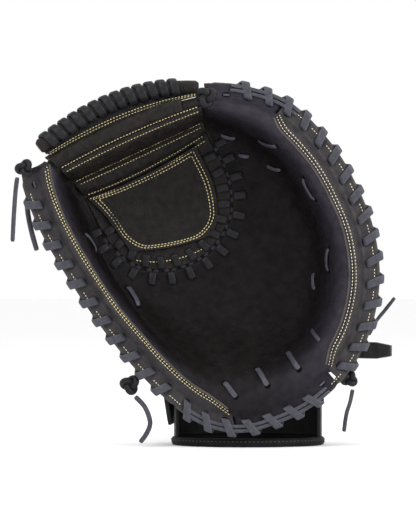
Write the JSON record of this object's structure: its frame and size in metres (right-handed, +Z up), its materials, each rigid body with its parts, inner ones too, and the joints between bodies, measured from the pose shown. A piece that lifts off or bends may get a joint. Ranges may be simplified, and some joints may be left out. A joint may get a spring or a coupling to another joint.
{
  "type": "baseball glove",
  "caption": "Black leather catcher's mitt for the left hand: padded roll round a deep pocket, laced rim, half-moon panel web with padded rolls, wrist strap.",
  "frame": {"origin": "centre of the bounding box in plan, at the level of the wrist opening's bottom edge that the mitt stands on", "axes": "+Z up toward the finger tips, -Y out of the pocket toward the ball, +X toward the little-finger side, with the thumb and the web on the -X side"},
  "size_m": [0.309, 0.1209, 0.2956],
  "materials": {
    "lace_leather": "blue-black rawhide lace, semi-matte",
    "felt": "pressed wool felt",
    "lining": "soft lining",
    "web_leather": "olive-black leather, creased, soft gloss",
    "band_leather": "brown-black leather, soft gloss",
    "shell_leather": "black leather, matte",
    "strap_leather": "neutral dark grey leather, matte"
  },
  "bodies": {
    "finger_side": {"finger_outer_band": "band_leather", "finger_roll_pad": "felt", "finger_rim_welt": "band_leather", "finger_rim_lace": "lace_leather", "index_stall": "shell_leather", "middle_stall": "shell_leather", "ring_stall": "shell_leather", "little_stall": "shell_leather", "little_finger_side": "shell_leather", "heel_pad": "felt", "wrist_binding": "band_leather", "wrist_band": "shell_leather", "wrist_strap": "shell_leather", "strap_facing": "lining", "strap_pin_lace": "lace_leather", "upper_strap_loop": "strap_leather", "lower_strap_loop": "strap_leather", "little_finger_loop": "strap_leather", "finger_tie_1": "lace_leather", "finger_tie_2": "lace_leather", "finger_tie_3": "lace_leather", "heel_tie_1": "lace_leather", "heel_tie_2": "lace_leather", "finger_side_knot": "lace_leather", "finger_heel_lace": "lace_leather", "finger_side_lace": "lace_leather", "palm_leather": "shell_leather", "palm_lining": "lining", "heel_lining": "lining", "heel_rim_welt": "band_leather", "heel_rim_lace": "lace_leather", "heel_tie_3": "lace_leather", "web_backing": "web_leather", "web_panel": "web_leather", "web_roll_1": "web_leather", "web_roll_2": "web_leather", "web_roll_3": "web_leather", "web_top_bar": "web_leather", "web_top_lace": "lace_leather", "web_pocket_lace": "lace_leather", "web_corner_knot": "lace_leather", "thumb_outer_band": "band_leather"},
    "thumb_side": {"thumb_roll_pad": "felt", "thumb_heel_pad": "felt", "thumb_rim_welt": "band_leather", "thumb_rim_lace": "lace_leather", "thumb_back": "shell_leather", "thumb_loop": "strap_leather", "thumb_tie_1": "lace_leather", "thumb_tie_2": "lace_leather", "thumb_tip_knot": "lace_leather", "thumb_heel_knot": "lace_leather", "thumb_tip_lace": "lace_leather", "thumb_side_lace": "lace_leather", "thumb_heel_lace": "lace_leather"},
    "strap_end": {"strap_tail": "strap_leather"}
  },
  "joints": [
    {"name": "mitt_close", "type": "hinge", "parent": "finger_side", "child": "thumb_side", "pos_m": [0.02697, -0.00552, 0.018], "axis": [-0.33, 0, 0.944], "range_deg": [0, 22], "deforming": ["palm_leather", "palm_lining", "heel_lining", "heel_rim_welt", "heel_rim_lace", "heel_tie_3", "web_backing", "web_panel", "web_roll_1", "web_roll_2", "web_roll_3", "web_top_bar", "web_top_lace", "web_pocket_lace", "web_corner_knot", "thumb_outer_band"]},
    {"name": "strap_peel", "type": "hinge", "parent": "finger_side", "child": "strap_end", "pos_m": [0.11647, 0.03548, 0.0765], "axis": [0, 0, 1], "range_deg": [-10, 80]}
  ]
}
